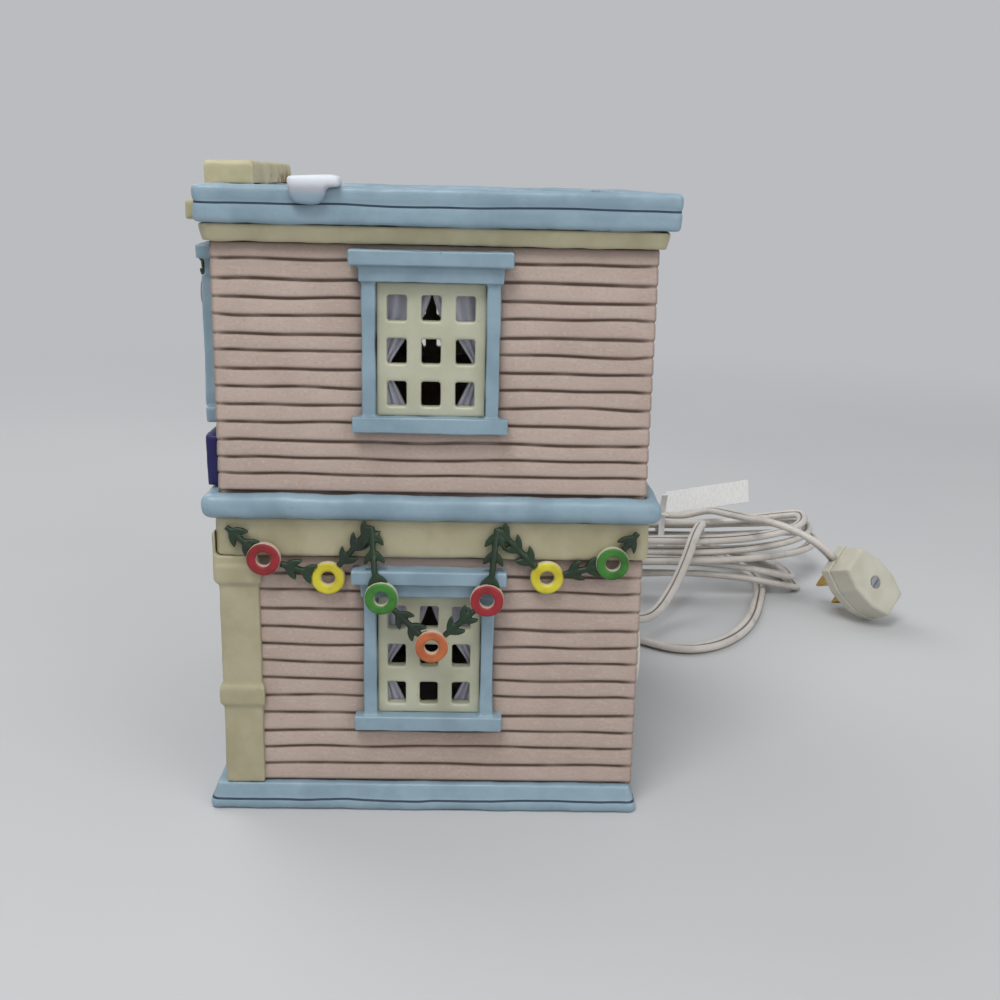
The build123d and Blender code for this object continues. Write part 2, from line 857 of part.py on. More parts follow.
def hank_level(q):
    """The layer that the cord lies in at a quarter turn, half a layer up where it climbs."""
    layer, step = divmod(q, 6)
    return layer + (0.5 if step == 5 else 0.0)


def hank_inset(q):
    """How far inside the widest loop the cord lies: in and out again, turning at each climb."""
    phase = (q + 1) % 12
    return hank_pitch / 4 * ((phase if phase <= 6 else 12 - phase) - 1)


def hank_point(q):
    """The cord's place and direction after q quarter turns: left end, back, right end, front."""
    inset = hank_inset(q)
    z = cord_dia / 2 + floor_gap + hank_layer * hank_level(q)
    place = q % 4
    if place == 0:
        return Vector(hank_x, hank_y - hank_half_length + inset, z), Vector(-1, 0, 0)
    if place == 1:
        return Vector(hank_x - hank_half_width + inset, hank_y, z + hank_back_lift), Vector(0, 1, 0)
    if place == 2:
        front_lobe = hank_level(q) <= 1 and q < 8
        shift = front_lobe_shift if front_lobe else back_lobe_shift
        length = front_lobe_length if front_lobe else back_lobe_length
        lift = 0 if front_lobe else back_lobe_lift
        return Vector(hank_x + shift, hank_y + length - inset, z + lift), Vector(1, 0, 0)
    return Vector(hank_x + hank_half_width - inset, hank_y, z + hank_front_lift), Vector(0, -1, 0)


def hank_path():
    arcs = []
    for q in range(hank_quarters):
        p0, t0 = hank_point(q)
        p1, t1 = hank_point(q + 1)
        arcs += biarc(p0, t0, p1, t1)
    start, heading = hank_point(0)
    end, leaving = hank_point(hank_quarters)
    run_in = Line(start - heading * cord_dia, start)
    run_out = Line(end, end + leaving * cord_dia)
    return Wire([run_in, *arcs, run_out])


def line_points(path, step=2.0):
    count = int(path.length / step)
    return [path @ (i / count) for i in range(count + 1)]


def least_gap(path, step=2.0):
    """The least clear space between turns of one path."""
    points = line_points(path, step)
    skip = int(4 * cord_dia / step)
    best = math.inf
    for i, a in enumerate(points):
        for b in points[i + skip :]:
            best = min(best, (a - b).length)
    return best - cord_dia


def cord_start():
    """The end of the strain relief."""
    flange_high = body_gap + flange_thick
    y = half_depth + flange_high + relief_root / 2 + fit
    return Vector(-outlet_offset - relief_length, y, lamp_z)


def lead_points():
    """The lead from the lamp holder, over the hank's front run, back under it and round to it."""
    x, y, z = cord_start()
    floor = cord_dia / 2 + floor_gap
    return [
        (x, y, z),
        (x - 10, y, z),
        (x - 22, y + 1.5, z - 5),
        (x - 35, y + 6, z - 14),
        (-87, 89, 9),
        (-102, 99.5, 6),
        (-115, 109, 13),
        (-126, 117, 25),
        (-138, 123, 36),
        (-153, 129, 37),
        (-168, 130, 29),
        (-181, 135, 18.5),
        (-188, 146, 9.5),
        (-183, 158, 4.5),
        (-170, 164, floor),
        (-152, 161.5, floor),
        (-134, 156, floor),
        (-112, 149, floor),
        (-91, 139, floor),
        (-73, 124, floor),
        (-67, 107, floor),
        (-77, 91, floor),
        (-92, 77, floor),
        (-110, 63, floor),
        (-132, 49, floor),
        (-152, 40, floor),
        (-166, 38, floor),
    ]


def plug_frame():
    """The plug's own frame: y from the cord to its far end, z out of its cover."""
    yaw, dip, roll = (math.radians(a) for a in (plug_yaw, plug_dip, plug_roll))
    along = Vector(math.cos(yaw) * math.cos(dip), math.sin(yaw) * math.cos(dip), -math.sin(dip))
    level = Vector(math.sin(yaw), -math.cos(yaw), 0)
    up = level.cross(along)
    normal = up * math.cos(roll) - level * math.sin(roll)
    return Plane((plug_x, plug_y, 0), x_dir=along.cross(normal), z_dir=normal)


def plug_plan(inset=0.0):
    """The plug's outline, narrow at the cord and wide in the middle."""
    half_l = plug_length / 2 - inset
    neck, waist, tip = (w / 2 - inset for w in (plug_neck, plug_width, plug_tip))
    return outline(
        [
            (-neck, -half_l),
            (neck, -half_l),
            (waist, -half_l * plug_shoulder),
            (waist, half_l * plug_hip),
            (tip, half_l),
            (-tip, half_l),
            (-waist, half_l * plug_hip),
            (-waist, -half_l * plug_shoulder),
        ]
    )


def screw_shape(head, shank, depth):
    """A screw that goes down into the plug from the top of its cover."""
    top = plug_cover_h
    return rod(head, top - screw_head_h, top) + rod(shank, top - screw_head_h - depth, top - screw_head_h)


def plug_pieces():
    """The plug's pieces in its own frame."""
    base = extrude(Pos(0, 0, -plug_base_h) * plug_plan(), plug_base_h, dir=(0, 0, 1))
    base = chamfer(base.faces().sort_by(Axis.Z)[0].edges(), plug_base_edge)
    cover = extrude(plug_plan(plug_step), plug_cover_h, taper=plug_cover_taper)
    cover = fillet(cover.faces().sort_by(Axis.Z)[-1].edges(), plug_edge)
    screw_length = plug_cover_h - screw_head_h + screw_bite
    room = screw_shape(screw_head + 2 * fit, screw_shank + 2 * fit, screw_length + fit)
    screw = screw_shape(screw_head, screw_shank, screw_length)
    screw -= Pos(0, 0, plug_cover_h) * Box(screw_head, screw_slot, screw_head_h)
    pins = []
    for sign in (-1, 1):
        pin = Pos(0, 0, -plug_base_h - pin_length / 2) * Box(pin_width, pin_thick, pin_length)
        pin = chamfer(pin.faces().sort_by(Axis.Z)[0].edges().filter_by(Axis.X), pin_thick / 3)
        pins.append(Pos(0, pin_shift + sign * pin_spacing / 2, 0) * pin)
    return {
        "plug_base": base - room,
        "plug_cover": cover - room,
        "plug_screw": screw,
        "plug_pins": Compound(children=pins),
    }


def make_plug():
    """Stands the plug on the floor and returns its frame there."""
    frame = plug_frame()
    pieces = plug_pieces()
    lowest = min((frame.location * p).bounding_box().min.Z for p in pieces.values())
    frame = Plane((plug_x, plug_y, -lowest), x_dir=frame.x_dir, z_dir=frame.z_dir)
    for name, shape in pieces.items():
        nodes[name] = frame.location * shape
    return frame


def plug_lead_points(frame):
    """From the end of the hank over its middle and front run, and down into the plug."""
    start, heading = hank_point(hank_quarters)
    entry = frame.from_local_coords(Vector(0, -plug_length / 2, cord_seat_h))
    return [
        tuple(start + heading * cord_dia),
        tuple(start + heading * (cord_dia + hank_run)),
        (-215, 142, 26.5),
        (-204, 146, 30),
        (-188, 149.5, 33),
        (-170, 152, 36.5),
        (-152, 154, 40),
        (-136, 157, 43.5),
        (-124, 163, 44.5),
        (-116.5, 172, 42),
        tuple(entry - frame.y_dir * plug_run),
        tuple(entry),
    ]


def make_cords():
    frame = make_plug()
    start, heading = hank_point(0)
    begin = start - heading * cord_dia
    nodes["cord_lead"] = tube(route_wire(lead_points() + [tuple(begin)]), "cord_lead")
    hank = hank_path()
    print(f"  hank: least gap to itself {least_gap(hank):.2f} mm")
    nodes["cord_hank"] = tube(hank, "cord_hank")
    nodes["plug_lead"] = tube(route_wire(plug_lead_points(frame)), "plug_lead")


def make_tie():
    """A flat tie round the back run of the hank, with its two ends standing out at the top."""
    spots = [hank_point(q)[0] for q in range(1, hank_quarters + 1, 4)]
    room = cord_dia / 2 + tie_room
    low = Vector(min(p.X for p in spots) - room, hank_y, min(p.Z for p in spots) - room)
    high = Vector(max(p.X for p in spots) + room, hank_y, max(p.Z for p in spots) + room)
    middle = (low + high) * 0.5
    upright = Plane(middle, x_dir=(1, 0, 0), z_dir=(0, -1, 0))
    inside = RectangleRounded(high.X - low.X, high.Z - low.Z, cord_dia / 2)
    outside = offset(inside, tie_thick)
    tie = upright.location * extrude(outside - inside, tie_width / 2, both=True)
    corner = Vector(high.X - cord_dia / 2, hank_y, high.Z + tie_thick / 2)
    for angle in tie_tail_angles:
        strip = Pos(tie_tail / 2, 0, 0) * Box(tie_tail, tie_width, tie_thick)
        tie += Pos(*corner) * Rot(0, -angle, 0) * strip
    nodes["cord_tie"] = tie


def make_tag():
    """A blank paper strip, folded over the plug lead and standing behind it."""
    start = hank_point(hank_quarters)[0]
    foot = start + Vector(-cord_dia / 2 - tag_gap, cord_dia, 0)
    lean = Vector(-math.sin(math.radians(tag_lean)), 0, math.cos(math.radians(tag_lean)))
    bend = ThreePointArc(foot, foot + Vector(*tag_middle), foot + Vector(*tag_end))
    sheet = Face.extrude(bend, lean * tag_width)
    nodes["cord_tag"] = Solid.thicken(sheet, tag_thick)


def make_all():
    make_bands()
    make_walls()
    make_posts()
    make_windows()
    make_door()
    make_roof()
    make_sign()
    make_garlands()
    make_lamp()
    make_cords()
    make_tie()
    make_tag()


make_all()
os.makedirs("parts", exist_ok=True)
for node_name, node_shape in nodes.items():
    export_step(node_shape, f"parts/{node_name}.step")
print(len(nodes), "nodes")
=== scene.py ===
import math

import bmesh
import bpy
from mathutils import Matrix, Vector, noise


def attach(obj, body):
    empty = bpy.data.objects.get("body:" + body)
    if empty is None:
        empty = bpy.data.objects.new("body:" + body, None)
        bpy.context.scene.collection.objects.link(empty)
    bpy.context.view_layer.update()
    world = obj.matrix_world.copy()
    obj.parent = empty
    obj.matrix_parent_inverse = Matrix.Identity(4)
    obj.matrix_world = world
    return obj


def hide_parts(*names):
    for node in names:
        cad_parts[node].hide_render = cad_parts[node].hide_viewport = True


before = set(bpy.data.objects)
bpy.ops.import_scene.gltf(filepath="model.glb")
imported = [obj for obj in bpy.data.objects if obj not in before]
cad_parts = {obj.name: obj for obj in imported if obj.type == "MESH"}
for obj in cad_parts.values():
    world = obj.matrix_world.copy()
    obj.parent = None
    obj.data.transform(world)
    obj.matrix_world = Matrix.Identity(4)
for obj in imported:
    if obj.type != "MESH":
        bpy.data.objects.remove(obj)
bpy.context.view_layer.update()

# Lengths below are in millimetres, as in part.py, and are turned into metres with MM
MM = 0.001

# Camera, in metres, and the photo's focal length in pixels
CAMERA_PLACE = (0.4359, 0.0127, 0.2041)
CAMERA_YAW = math.radians(1.29)
CAMERA_PITCH = math.radians(14.9)
CAMERA_ROLL = math.radians(1.29)
FOCAL_PIXELS = 1206.4
PHOTO_PIXELS = 1000.0
SENSOR_WIDTH = 36.0

# Cord
CORD_LAYING = 2.3
CORD_RADIUS = 1.65
CORD_SPREAD = 1.3
CORD_ROLL = math.radians(24)
CORD_ROLL_LENGTH = 170.0
LOBE_STEPS = 9
HANK_X = -182.0
HANK_Y = 118.0
HANK_HALF_WIDTH = 40.0
HANK_HALF_LENGTH = 80.0
HANK_QUARTERS = 21
HANK_LAYER_QUARTERS = 6
HANK_STEPS = 8
HANK_PITCH = 6.3
HANK_LAYER = 5.8
HANK_FRONT_LIFT = 10.0
HANK_BACK_LIFT = 2.4
CORD_SPLINE_STEPS = 5
CORD_SPLINE_ORDER = 3

# The hank's right end as (shift, length, lift), for its first quarter turns and for the rest
FRONT_LOBE_QUARTERS = 8
FRONT_LOBE = (24.0, 66.0, 0.0)
BACK_LOBE = (-15.0, 80.0, 10.5)

# The cord's route from the holder to the hank and from the hank to the plug, as in part.py
LEAD_POINTS = [
    (-37.5, 72.8, 30),
    (-47.5, 72.8, 30),
    (-59.5, 74.3, 25),
    (-72.5, 78.8, 16),
    (-87, 89, 9),
    (-102, 99.5, 6),
    (-115, 109, 13),
    (-126, 117, 25),
    (-138, 123, 36),
    (-153, 129, 37),
    (-168, 130, 29),
    (-181, 135, 18.5),
    (-188, 146, 9.5),
    (-183, 158, 4.5),
    (-170, 164, CORD_LAYING),
    (-152, 161.5, CORD_LAYING),
    (-134, 156, CORD_LAYING),
    (-112, 149, CORD_LAYING),
    (-91, 139, CORD_LAYING),
    (-73, 124, CORD_LAYING),
    (-67, 107, CORD_LAYING),
    (-77, 91, CORD_LAYING),
    (-92, 77, CORD_LAYING),
    (-110, 63, CORD_LAYING),
    (-132, 49, CORD_LAYING),
    (-152, 40, CORD_LAYING),
    (-166, 38, CORD_LAYING),
    (-177.6, 38, CORD_LAYING),
]
PLUG_LEAD_POINTS = [
    (-220.4, 122.4, 22.1),
    (-220.4, 132.4, 22.1),
    (-215, 142, 26.5),
    (-204, 146, 30),
    (-188, 149.5, 33),
    (-170, 152, 36.5),
    (-152, 154, 40),
    (-136, 157, 43.5),
    (-124, 163, 44.5),
    (-116.5, 172, 42),
    (-113.6, 180.1, 37.1),
    (-114.1, 185.6, 31.4),
]

# House walls, with sizes as in part.py
HALF_WIDTH = 70.0
HALF_DEPTH = 67.0
WALL_THICK = 6.0
BOARD_RELIEF = 1.1
LOWER_BOARDS = 13
UPPER_BOARDS = 14
PLINTH_TOP = 8.7
LOWER_WALL = (8.7, 87.4)
UPPER_WALL = (107.9, 184.7)
WALL_TOP = 190.0
COLUMN_STEP = 1.2
GROOVE_FADE = 3.0
CORNER_RELIEF = 0.4

# Unevenness of the boards, and of the brown wash and painted shade in their grooves
BOARD_WANDER = 0.42
BOARD_UNEVEN = 0.4
BOARD_CALM = 6.0
WANDER_LENGTH = 23.0
SHADE_LENGTH = 9.0
SHADE_HEIGHT = 5.0
SHADE_LEAST = 0.5
SHADE_MEAN = 0.95
SHADE_SWING = 0.6
SHADE_AT_CORNER = 0.2
SHADE_SEED = 40.0
WALL_SEED = 11.3
UNEVEN_STEP = 5.3
UNEVEN_SEED = 9.1
WANDER_STEP = 3.7

# Windows, door and lamp hole
WINDOW_SHIFT = -1.0
UPPER_WINDOW_Z = 128.2
LOWER_WINDOW_Z = 29.4
FRONT_WINDOW_U = 38.0
FRONT_LOW_WINDOW_U = -30.0
SILL_H = 4.8
JAMB_H = 40.9
SASH_WIDTH = 33.4
JAMB_SPAN = 41.8
HOOD_TOP = 55.0
DOOR_U = 31.0
DOOR_WIDTH = 27.0
DOOR_H = 60.0
LAMP_Z = 30.0
LAMP_HOLE = 33.0
LAMP_HOLE_EDGE = 2.5

# Places of painted lines, painted shade beside the trim and under the mouldings, snow, stains and candy rims
TRIM_SHADE_REACH = 1.3
TRIM_SHADE_DEPTH = 0.55
UNDER_SHADE_REACH = 2.4
UNDER_SHADE_DEPTH = 0.6
LINE_HALF = 0.32
LINE_WAVER = 0.35
CORNICE_LINE_Z = 195.9
PLINTH_LINE_Z = 3.7
SNOW_LUMP_X = (66.0, 70.0)
SNOW_GREY_Z = (202.6, 200.0)
SNOW_BLUE_Z = (201.0, 197.8)
STAIN_X = (-2.0, -14.0)
STAIN_Y = (-61.5, -59.5)
STAIN_Z = (206.2, 202.0)
SIDE_CANDY_X = 66.0

# Curtains: the free edge of one as (height over the sill, distance from the window's middle)
DRAPE_EDGE = [
    (0.2, 7.3),
    (3.3, 8.3),
    (11.4, 12.3),
    (14.0, 12.8),
    (16.7, 12.4),
    (23.4, 7.9),
    (29.9, 2.6),
    (36.0, 0.4),
    (40.6, 0.2),
]
DRAPE_OUT = -4.4
DRAPE_FOLD = 0.35
DRAPE_FOLDS = 3.5
DRAPE_THICK = 0.5
DRAPE_GAP = 0.2
DRAPE_ROWS = 40
DRAPE_COLUMNS = 28


def linear(red, green, blue):
    """A colour in linear light, from its three screen values of 0 to 255."""
    out = []
    for value in (red, green, blue):
        v = value / 255
        out.append(v / 12.92 if v <= 0.04045 else ((v + 0.055) / 1.055) ** 2.4)
    return (*out, 1.0)


def add_object(name, data):
    obj = bpy.data.objects.new(name, data)
    bpy.context.scene.collection.objects.link(obj)
    return obj


# Camera
def make_camera():
    data = bpy.data.cameras.new("camera")
    data.sensor_width = SENSOR_WIDTH
    data.lens = SENSOR_WIDTH * FOCAL_PIXELS / PHOTO_PIXELS
    camera = add_object("camera", data)
    right = Vector((math.sin(CAMERA_YAW), math.cos(CAMERA_YAW), 0))
    level = Vector((-math.cos(CAMERA_YAW), math.sin(CAMERA_YAW), 0))
    forward = level * math.cos(CAMERA_PITCH) - Vector((0, 0, math.sin(CAMERA_PITCH)))
    up = right.cross(forward)
    across = right * math.cos(CAMERA_ROLL) + up * math.sin(CAMERA_ROLL)
    rise = up * math.cos(CAMERA_ROLL) - right * math.sin(CAMERA_ROLL)
    turn = Matrix((across, rise, -forward)).transposed()
    camera.matrix_world = Matrix.Translation(CAMERA_PLACE) @ turn.to_4x4()
    bpy.context.scene.camera = camera


make_camera()


# Cord
def hank_level(q):
    """The layer of the hank after q quarter turns: the last quarter climbs to the next one."""
    layer, step = divmod(q, HANK_LAYER_QUARTERS)
    return layer + (0.5 if step == HANK_LAYER_QUARTERS - 1 else 0.0)


def hank_inset(q):
    """How far inside the outer loop the cord is: it spirals in on one layer and out on the next."""
    phase = (q + 1) % (2 * HANK_LAYER_QUARTERS)
    return HANK_PITCH / 4 * (min(phase, 2 * HANK_LAYER_QUARTERS - phase) - 1)


def hank_point(q):
    """The cord's place and direction after q quarter turns: left end, back, right end, front."""
    inset = hank_inset(q)
    z = CORD_LAYING + HANK_LAYER * hank_level(q)
    place = q % 4
    if place == 0:
        return Vector((HANK_X, HANK_Y - HANK_HALF_LENGTH + inset, z)), Vector((-1, 0, 0))
    if place == 1:
        return Vector((HANK_X - HANK_HALF_WIDTH + inset, HANK_Y, z + HANK_BACK_LIFT)), Vector((0, 1, 0))
    if place == 2:
        shift, length, lift = FRONT_LOBE if q < FRONT_LOBE_QUARTERS else BACK_LOBE
        return Vector((HANK_X + shift, HANK_Y + length - inset, z + lift)), Vector((1, 0, 0))
    return Vector((HANK_X + HANK_HALF_WIDTH - inset, HANK_Y, z + HANK_FRONT_LIFT)), Vector((0, -1, 0))


def hank_points():
    """The loops of the hank, each quarter turn as part of an oval."""
    points = []
    for q in range(HANK_QUARTERS):
        p0, t0 = hank_point(q)
        p1, t1 = hank_point(q + 1)
        gap = p1 - p0
        for i in range(HANK_STEPS):
            angle = i / HANK_STEPS * math.pi / 2
            spot = p0 + t0 * (gap.dot(t0) * math.sin(angle)) + t1 * (gap.dot(t1) * (1 - math.cos(angle)))
            spot.z = p0.z + gap.z * math.sin(angle) ** 2
            points.append(tuple(spot))
    points.append(tuple(hank_point(HANK_QUARTERS)[0]))
    return points


def spline_points(points):
    """Points along a smooth spline that has these control points, in metres."""
    curve = bpy.data.curves.new("cord_line", "CURVE")
    curve.dimensions = "3D"
    curve.resolution_u = CORD_SPLINE_STEPS
    spline = curve.splines.new("NURBS")
    spline.points.add(len(points) - 1)
    for control, point in zip(spline.points, points):
        control.co = (*(c * MM for c in point), 1)
    spline.order_u = CORD_SPLINE_ORDER
    spline.use_endpoint_u = True
    line = add_object("cord_line", curve)
    bpy.context.view_layer.update()
    mesh = bpy.data.meshes.new_from_object(line)
    spots = [v.co.copy() for v in mesh.vertices]
    bpy.data.objects.remove(line)
    return spots


def twin_profile():
    """The outline of a flat twin cord: two round cores that meet in a groove, as (side, up)."""
    meet = math.pi - math.acos(CORD_SPREAD / CORD_RADIUS)
    outline = []
    for centre, facing in ((CORD_SPREAD, 0.0), (-CORD_SPREAD, math.pi)):
        for i in range(LOBE_STEPS):
            angle = facing - meet + 2 * meet * i / LOBE_STEPS
            outline.append((centre + CORD_RADIUS * math.cos(angle), CORD_RADIUS * math.sin(angle)))
    return outline


def tube_mesh(name, spots, profile):
    """A closed tube of that profile along the points, turning slowly as a cord does."""
    mesh = bmesh.new()
    seam = mesh.verts.layers.float.new("seam")
    rings = []
    travelled = 0.0
    for i, spot in enumerate(spots):
        before, after = spots[max(i - 1, 0)], spots[min(i + 1, len(spots) - 1)]
        travelled += (spot - before).length
        along = (after - before).normalized()
        side = along.cross(Vector((0, 0, 1))).normalized()
        roll = CORD_ROLL * math.sin(travelled / (CORD_ROLL_LENGTH * MM) * math.tau)
        side = Matrix.Rotation(roll, 3, along) @ side
        up = side.cross(along)
        rings.append([mesh.verts.new(spot + side * (a * MM) + up * (b * MM)) for a, b in profile])
        # Marks the groove between the cores, which the cord paint darkens with painted shade
        for start in (0, LOBE_STEPS):
            rings[-1][start][seam] = 1.0
    count = len(profile)
    for low, high in zip(rings, rings[1:]):
        for i in range(count):
            j = (i + 1) % count
            mesh.faces.new((low[i], low[j], high[j], high[i]))
    mesh.faces.new(rings[0])
    mesh.faces.new(rings[-1])
    bmesh.ops.recalc_face_normals(mesh, faces=mesh.faces)
    data = bpy.data.meshes.new(name)
    mesh.to_mesh(data)
    data.shade_smooth()
    return add_object(name, data)


def make_cord():
    spots = spline_points(LEAD_POINTS + hank_points() + PLUG_LEAD_POINTS)
    cord = tube_mesh("light_cord", spots, twin_profile())
    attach(cord, "light_kit")
    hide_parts("cord_lead", "cord_hank", "plug_lead")
    return cord


light_cord = make_cord()


# Materials: noise scales, and the part of a noise's range over which one colour turns into another
CLOUD_SCALE = 70
CORD_CLOUD_SCALE = 60
FINE_SCALE = 900
BLOT_SCALE = 330
COAT_SPREAD = (0.36, 0.68)
CLOUD_SPREAD = (0.35, 0.7)
# Ranges of pointiness over which hollows take painted shade and edges take a painted highlight
HOLLOW_SHADE_SPREAD = (0.49, 0.42)
EDGE_HIGHLIGHT_SPREAD = (0.52, 0.62)


class Paint:
    """A procedural material that is built up from noise over the object's own coordinates."""

    def __init__(self, name):
        self.material = bpy.data.materials.new(name)
        self.material.use_nodes = True
        self.tree = self.material.node_tree
        self.shader = self.tree.nodes["Principled BSDF"]
        self.place = self.add("ShaderNodeTexCoord").outputs["Object"]

    def add(self, kind):
        return self.tree.nodes.new(kind)

    def link(self, source, target):
        self.tree.links.new(source, target)

    def set(self, **values):
        for name, value in values.items():
            self.shader.inputs[name.replace("_", " ")].default_value = value

    def noise(self, scale, detail=3.0, stretch=None):
        place = self.place
        if stretch:
            mapping = self.add("ShaderNodeMapping")
            mapping.inputs["Scale"].default_value = stretch
            self.link(place, mapping.inputs["Vector"])
            place = mapping.outputs["Vector"]
        texture = self.add("ShaderNodeTexNoise")
        texture.inputs["Scale"].default_value = scale
        texture.inputs["Detail"].default_value = detail
        self.link(place, texture.inputs["Vector"])
        return texture.outputs["Fac"]

    def span(self, value, low, high, start=0.0, end=1.0):
        """A value between low and high, spread smoothly from start to end."""
        node = self.add("ShaderNodeMapRange")
        node.interpolation_type = "SMOOTHSTEP"
        for name, number in zip(("From Min", "From Max", "To Min", "To Max"), (low, high, start, end)):
            node.inputs[name].default_value = number
        self.link(value, node.inputs["Value"])
        return node.outputs["Result"]

    def mix(self, factor, first, second):
        node = self.add("ShaderNodeMix")
        node.data_type = "RGBA"
        self.link(factor, node.inputs["Factor"])
        for socket, colour in ((node.inputs[6], first), (node.inputs[7], second)):
            if isinstance(colour, tuple):
                socket.default_value = colour
            else:
                self.link(colour, socket)
        return node.outputs[2]

    def times(self, first, second):
        node = self.add("ShaderNodeMath")
        node.operation = "MULTIPLY"
        self.link(first, node.inputs[0])
        self.link(second, node.inputs[1])
        return node.outputs[0]

    def attribute(self, name):
        node = self.add("ShaderNodeAttribute")
        node.attribute_name = name
        return node.outputs["Fac"]

    def axis(self, name):
        node = self.add("ShaderNodeSeparateXYZ")
        self.link(self.place, node.inputs["Vector"])
        return node.outputs[name]

    def groove_line(self, height):
        """One in a thin wavering line round the object at that height, and zero elsewhere."""
        waver = self.span(self.noise(22, 2, (1, 1, 0)), 0.3, 0.7, -LINE_WAVER * MM, LINE_WAVER * MM)
        add = self.add("ShaderNodeMath")
        self.link(self.axis("Z"), add.inputs[0])
        self.link(waver, add.inputs[1])
        away = self.add("ShaderNodeMath")
        away.operation = "COMPARE"
        self.link(add.outputs[0], away.inputs[0])
        away.inputs[1].default_value = height * MM
        away.inputs[2].default_value = LINE_HALF * MM
        return away.outputs[0]

    def pointiness(self):
        return self.add("ShaderNodeNewGeometry").outputs["Pointiness"]

    def maths(self, operation, value, number=0.0):
        node = self.add("ShaderNodeMath")
        node.operation = operation
        self.link(value, node.inputs[0])
        node.inputs[1].default_value = number
        return node.outputs[0]

    def facing(self):
        """How squarely the surface faces away from its wall: one on a candy's face, zero on its edge."""
        normal = self.add("ShaderNodeSeparateXYZ")
        self.link(self.add("ShaderNodeTexCoord").outputs["Normal"], normal.inputs["Vector"])
        side = self.maths("GREATER_THAN", self.maths("ABSOLUTE", self.axis("X")), SIDE_CANDY_X * MM)
        choose = self.add("ShaderNodeMix")
        self.link(side, choose.inputs[0])
        self.link(self.maths("ABSOLUTE", normal.outputs["Y"]), choose.inputs[2])
        self.link(self.maths("ABSOLUTE", normal.outputs["X"]), choose.inputs[3])
        return choose.outputs[0]

    def colour(self, socket):
        self.link(socket, self.shader.inputs["Base Color"])

    def rough(self, value, low, high):
        self.link(self.span(value, 0.3, 0.7, low, high), self.shader.inputs["Roughness"])

    def bump(self, height, distance, strength=0.6):
        node = self.add("ShaderNodeBump")
        node.inputs["Distance"].default_value = distance
        node.inputs["Strength"].default_value = strength
        self.link(height, node.inputs["Height"])
        self.link(node.outputs["Normal"], self.shader.inputs["Normal"])


def painted(name, base, shade, glint, hollow_shade_and_specks, rough=(0.36, 0.55), lines=(), line=None):
    """Hand-painted bisque: a cloudy coat, painted shade in the hollows and painted highlights on the edges.

    Lines are the heights of painted grooves, in millimetres, which take the colour line.
    """
    paint = Paint(name)
    cloud = paint.noise(CLOUD_SCALE, 4)
    fine = paint.noise(FINE_SCALE, 2)
    specks = paint.noise(BLOT_SCALE, 1)
    colour = paint.mix(paint.span(cloud, *COAT_SPREAD), base, shade)
    point = paint.pointiness()
    # Painted highlight on the edges
    colour = paint.mix(paint.span(point, *EDGE_HIGHLIGHT_SPREAD, 0.0, 0.85), colour, glint)
    # Painted shade in the hollows; the same colour also makes the dark specks below
    colour = paint.mix(paint.span(point, *HOLLOW_SHADE_SPREAD), colour, hollow_shade_and_specks)
    colour = paint.mix(paint.span(fine, 0.6, 0.8, 0.0, 0.45), colour, shade)
    colour = paint.mix(paint.span(specks, 0.79, 0.83, 0.0, 0.8), colour, hollow_shade_and_specks)
    for height in lines:
        colour = paint.mix(paint.groove_line(height), colour, line)
    paint.colour(colour)
    paint.rough(cloud, *rough)
    paint.bump(fine, 0.0001)
    return paint.material


def wall_paint():
    """Pink bisque boards with brown wash and painted shade in the grooves, and painted shade beside the trim
    and under the mouldings.
    """
    paint = Paint("pink_bisque")
    cloud = paint.noise(48, 5)
    grain = paint.noise(FINE_SCALE, 3, (1, 1, 1.6))
    streak = paint.noise(210, 4, (1, 1, 5))
    colour = paint.mix(paint.span(cloud, 0.3, 0.72), linear(179, 160, 149), linear(169, 150, 139))
    colour = paint.mix(paint.span(streak, 0.52, 0.72, 0.0, 0.5), colour, linear(185, 167, 156))
    colour = paint.mix(paint.span(grain, 0.57, 0.75, 0.0, 0.55), colour, linear(194, 178, 168))
    colour = paint.mix(paint.span(grain, 0.43, 0.28, 0.0, 0.5), colour, linear(158, 138, 127))
    # Brown wash and painted shade in the grooves, and painted shade beside the trim and under the mouldings
    colour = paint.mix(paint.attribute("groove"), colour, linear(93, 74, 64))
    paint.colour(colour)
    paint.rough(cloud, 0.6, 0.8)
    paint.bump(grain, 0.00012, 0.5)
    return paint.material


def snow_paint():
    """White snow. The lump on the cornice runs out into the blue paint under it."""
    paint = Paint("snow_white")
    cloud = paint.noise(CLOUD_SCALE, 4)
    fine = paint.noise(800, 2)
    colour = paint.mix(paint.span(cloud, *COAT_SPREAD), linear(212, 216, 222), linear(205, 209, 216))
    # Painted shade in the snow's hollows
    colour = paint.mix(paint.span(paint.pointiness(), *HOLLOW_SHADE_SPREAD), colour, linear(158, 168, 180))
    outside = paint.span(paint.axis("X"), *(x * MM for x in SNOW_LUMP_X))
    low = paint.axis("Z")
    grey = paint.times(outside, paint.span(low, *(z * MM for z in SNOW_GREY_Z)))
    colour = paint.mix(grey, colour, linear(172, 170, 178))
    blue = paint.times(outside, paint.span(low, *(z * MM for z in SNOW_BLUE_Z)))
    colour = paint.mix(blue, colour, linear(130, 152, 166))
    paint.colour(colour)
    paint.rough(fine, 0.45, 0.65)
    paint.bump(cloud, 0.0016)
    return paint.material


